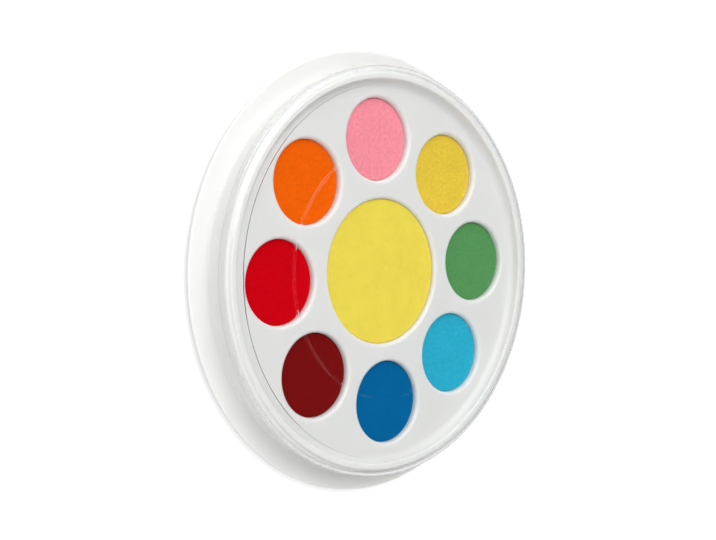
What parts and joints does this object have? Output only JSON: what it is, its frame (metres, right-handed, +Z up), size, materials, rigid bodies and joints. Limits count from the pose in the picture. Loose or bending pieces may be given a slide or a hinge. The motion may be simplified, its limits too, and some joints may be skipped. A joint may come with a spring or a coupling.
{
  "type": "finger paint set",
  "caption": "Round flat paint palette with a dished brim, a ring of small round wells about a large centre well, each filled with a coloured cake, under a clear lift-off lid.",
  "frame": {"origin": "centre of the foot ring's circle, on the table that the set rests on", "axes": "+Z up through the lid along the axis of the round set; +X through the green well, +Y through the pink well"},
  "size_m": [0.168, 0.168, 0.0171],
  "materials": {
    "white_plastic": "satin injection-moulded white polypropylene",
    "clear_plastic": "polished clear polystyrene",
    "paint_yellow_centre": "smooth matt pressed paint",
    "paint_green": "matt pressed paint",
    "paint_golden_yellow": "matt pressed paint",
    "paint_pink": "matt pressed paint",
    "paint_orange": "matt pressed paint",
    "paint_red": "matt pressed paint",
    "paint_dark_red": "matt pressed paint",
    "paint_blue": "matt pressed paint",
    "paint_light_blue": "matt pressed paint"
  },
  "bodies": {
    "palette": {"palette": "white_plastic", "paint_yellow_centre": "paint_yellow_centre", "paint_green": "paint_green", "paint_golden_yellow": "paint_golden_yellow", "paint_pink": "paint_pink", "paint_orange": "paint_orange", "paint_red": "paint_red", "paint_dark_red": "paint_dark_red", "paint_blue": "paint_blue", "paint_light_blue": "paint_light_blue"},
    "lid": {"lid": "clear_plastic"}
  },
  "joints": [
    {"name": "lid_lift", "type": "slide", "parent": "palette", "child": "lid", "axis": [0, 0, 1], "range_m": [0, 0.06]}
  ]
}
